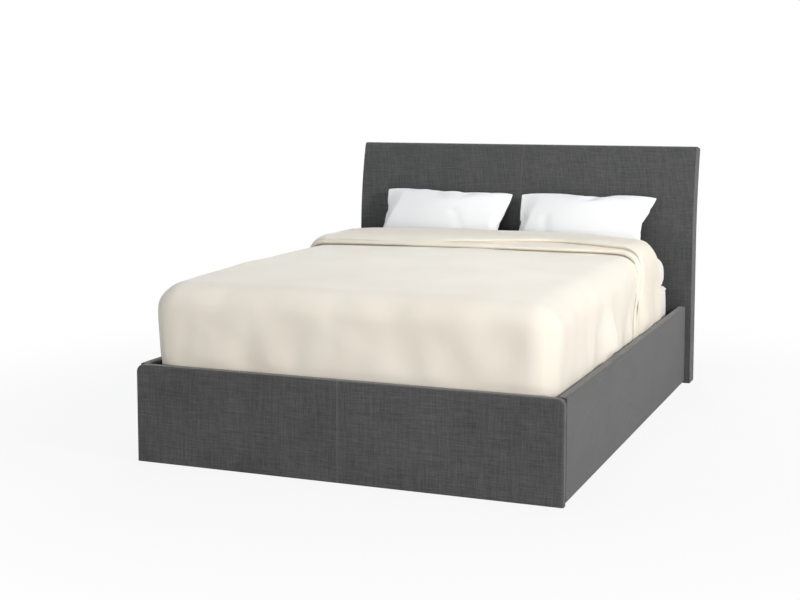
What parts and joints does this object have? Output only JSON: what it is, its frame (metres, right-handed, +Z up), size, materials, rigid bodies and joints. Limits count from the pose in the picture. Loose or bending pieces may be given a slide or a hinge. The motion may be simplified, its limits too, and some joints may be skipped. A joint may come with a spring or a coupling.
{
  "type": "ottoman bed",
  "caption": "Upholstered ottoman bed with a curved headboard, a storage well under an end-lifting slatted platform with gas struts, and its mattress, duvet and leaning pillows.",
  "frame": {"origin": "middle of the footprint on the floor (bottom centre of the bounding box), bed closed", "axes": "+Z up, +Y from the foot to the headboard, +X to the right seen from the foot"},
  "size_m": [1.673, 2.3128, 1.1051],
  "materials": {
    "upholstery": "woven charcoal linen look, matt",
    "back_cloth": "thin black lining",
    "board": "plain board, sawn",
    "floor_board": "thin hardboard, grey faced",
    "glide": "matt",
    "buffer": "matt",
    "coated_steel": "black powder coat",
    "plated_steel": "zinc plated",
    "strut_rod": "polished",
    "plastic": "matt",
    "slat": "pressed beech, satin",
    "strap": "woven webbing",
    "mattress": "knitted ticking, matt",
    "duvet": "brushed cotton, matt",
    "pillow": "cotton, matt"
  },
  "bodies": {
    "base": {"headboard_cover": "upholstery", "headboard_panel": "board", "headboard_back_cloth": "back_cloth", "headboard_rails": "board", "headboard_ribs": "board", "foot_panel_board": "board", "foot_panel_cover": "upholstery", "left_side_rail_board": "board", "left_side_rail_cover": "upholstery", "right_side_rail_board": "board", "right_side_rail_cover": "upholstery", "corner_brackets": "coated_steel", "corner_bolts": "plated_steel", "floor_battens": "board", "centre_floor_beam": "board", "floor_board_1": "floor_board", "floor_board_2": "floor_board", "floor_board_3": "floor_board", "floor_board_4": "floor_board", "floor_glides": "glide", "foot_rest_batten": "board", "rest_buffers": "buffer", "left_lift_base_plate": "coated_steel", "right_lift_base_plate": "coated_steel", "lift_base_bolts": "plated_steel", "lift_base_studs": "plated_steel", "lift_base_rings": "plated_steel"},
    "front_arms": {"left_front_arm": "coated_steel", "right_front_arm": "coated_steel"},
    "rear_arms": {"left_rear_arm": "coated_steel", "right_rear_arm": "coated_steel"},
    "strut_cylinders": {"left_strut_cylinder": "coated_steel", "right_strut_cylinder": "coated_steel"},
    "strut_rods": {"left_strut_rod": "strut_rod", "right_strut_rod": "strut_rod"},
    "platform": {"left_platform_tube": "coated_steel", "right_platform_tube": "coated_steel", "head_platform_tube": "coated_steel", "foot_platform_tube": "coated_steel", "centre_platform_tube": "coated_steel", "cross_tubes": "coated_steel", "tube_end_caps": "plastic", "left_lift_plate": "coated_steel", "right_lift_plate": "coated_steel", "lift_plate_bolts": "plated_steel", "lift_plate_studs": "plated_steel", "lift_plate_rings": "plated_steel", "left_slats": "slat", "right_slats": "slat", "left_slat_holders": "plastic", "right_slat_holders": "plastic", "centre_slat_holders": "plastic", "mattress_stop_bars": "coated_steel", "pull_strap": "strap", "mattress": "mattress", "mattress_top_pad": "mattress", "duvet": "duvet"},
    "pillows": {"left_pillow": "pillow", "right_pillow": "pillow"}
  },
  "joints": [
    {"name": "front_arm_swing", "type": "hinge", "parent": "base", "child": "front_arms", "pos_m": [0, 0.09849, 0.088], "axis": [1, 0, 0], "range_deg": [0, 25.76]},
    {"name": "platform_tilt", "type": "hinge", "parent": "front_arms", "child": "platform", "pos_m": [0, 0.4932, 0.19129], "axis": [1, 0, 0], "range_deg": [-60.26, 0]},
    {"name": "rear_arm_swing", "type": "hinge", "parent": "base", "child": "rear_arms", "pos_m": [0, 0.42649, 0.259], "axis": [1, 0, 0], "range_deg": [0, 53.2]},
    {"name": "strut_cylinder_swing", "type": "hinge", "parent": "base", "child": "strut_cylinders", "pos_m": [0, 0.35209, 0.052], "axis": [1, 0, 0], "range_deg": [0, 31.58]},
    {"name": "strut_rod_swing", "type": "hinge", "parent": "platform", "child": "strut_rods", "pos_m": [0, 0.55209, 0.202], "axis": [1, 0, 0], "range_deg": [0, 65.58]},
    {"name": "pillow_lean", "type": "hinge", "parent": "platform", "child": "pillows", "pos_m": [0, 0.79349, 0.6116], "axis": [1, 0, 0], "range_deg": [0, 58.3]}
  ],
  "couplings": [
    {"joint": "platform_tilt", "follows": "front_arm_swing", "ratio": -2.32},
    {"joint": "rear_arm_swing", "follows": "front_arm_swing", "ratio": 2.0462},
    {"joint": "strut_cylinder_swing", "follows": "front_arm_swing", "ratio": 1.2067},
    {"joint": "strut_rod_swing", "follows": "front_arm_swing", "ratio": 2.5267},
    {"joint": "pillow_lean", "follows": "front_arm_swing", "ratio": 2.2441}
  ]
}
